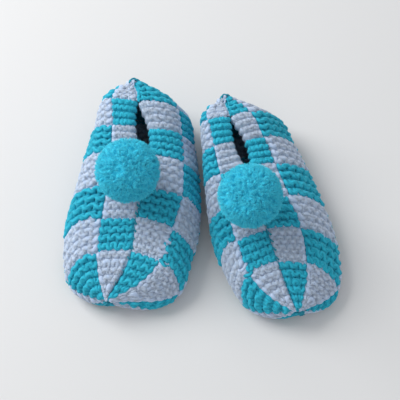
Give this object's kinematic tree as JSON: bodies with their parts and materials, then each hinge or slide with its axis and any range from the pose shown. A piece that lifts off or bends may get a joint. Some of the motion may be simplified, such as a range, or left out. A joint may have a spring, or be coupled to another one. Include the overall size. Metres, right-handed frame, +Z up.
{
  "type": "baby bootie pair",
  "caption": "Pair of chunky garter-stitch baby booties in a two-colour check, each with a slit opening, a gathered toe and a pompom tied on the instep.",
  "frame": {"origin": "middle of the pair's footprint, on the surface that the soles rest on", "axes": "+Z up, toes towards -Y, heels towards +Y, +X from the left-lying bootie to the right-lying one"},
  "size_m": [0.132, 0.1172, 0.059],
  "materials": {
    "teal_yarn": "chunky acrylic yarn, garter stitch",
    "white_yarn": "chunky acrylic yarn, garter stitch",
    "pompom_yarn": "cut acrylic yarn, fluffy",
    "sewing_yarn": "acrylic yarn, sewn"
  },
  "bodies": {
    "left_bootie": {"left_heel_seam": "sewing_yarn", "left_inner_flap_teal": "teal_yarn", "left_inner_flap_white": "white_yarn", "left_inner_side_teal": "teal_yarn", "left_inner_side_white": "white_yarn", "left_instep_seam": "sewing_yarn", "left_outer_flap_teal": "teal_yarn", "left_outer_flap_white": "white_yarn", "left_outer_side_teal": "teal_yarn", "left_outer_side_white": "white_yarn", "left_sole_teal": "teal_yarn", "left_sole_white": "white_yarn", "left_toe_gather": "sewing_yarn"},
    "left_knot": {"left_pompom_knot": "sewing_yarn"},
    "left_pompom": {"left_pompom": "pompom_yarn", "left_pompom_band": "sewing_yarn"},
    "right_bootie": {"right_heel_seam": "sewing_yarn", "right_inner_flap_teal": "teal_yarn", "right_inner_flap_white": "white_yarn", "right_inner_side_teal": "teal_yarn", "right_inner_side_white": "white_yarn", "right_instep_seam": "sewing_yarn", "right_outer_flap_teal": "teal_yarn", "right_outer_flap_white": "white_yarn", "right_outer_side_teal": "teal_yarn", "right_outer_side_white": "white_yarn", "right_sole_teal": "teal_yarn", "right_sole_white": "white_yarn", "right_toe_gather": "sewing_yarn"},
    "right_knot": {"right_pompom_knot": "sewing_yarn"},
    "right_pompom": {"right_pompom": "pompom_yarn", "right_pompom_band": "sewing_yarn"}
  },
  "joints": [
    {"name": "right_bootie_apart", "type": "slide", "parent": "left_bootie", "child": "right_bootie", "axis": [1, 0, 0], "range_m": [0, 0.12]},
    {"name": "left_pompom_nod", "type": "hinge", "parent": "left_bootie", "child": "left_knot", "pos_m": [-0.02775, 0.00325, 0.03033], "axis": [1, 0, 0], "range_deg": [-10, 10], "stiffness_Nm_per_rad": 0.02},
    {"name": "left_pompom_flop", "type": "hinge", "parent": "left_knot", "child": "left_pompom", "pos_m": [-0.02775, 0.00325, 0.03033], "axis": [0, 1, 0], "range_deg": [-5, 40], "stiffness_Nm_per_rad": 0.02},
    {"name": "right_pompom_nod", "type": "hinge", "parent": "right_bootie", "child": "right_knot", "pos_m": [0.02693, -0.00871, 0.02919], "axis": [1, 0, 0], "range_deg": [-10, 10], "stiffness_Nm_per_rad": 0.02},
    {"name": "right_pompom_flop", "type": "hinge", "parent": "right_knot", "child": "right_pompom", "pos_m": [0.02693, -0.00871, 0.02919], "axis": [0, 1, 0], "range_deg": [-5, 40], "stiffness_Nm_per_rad": 0.02}
  ]
}
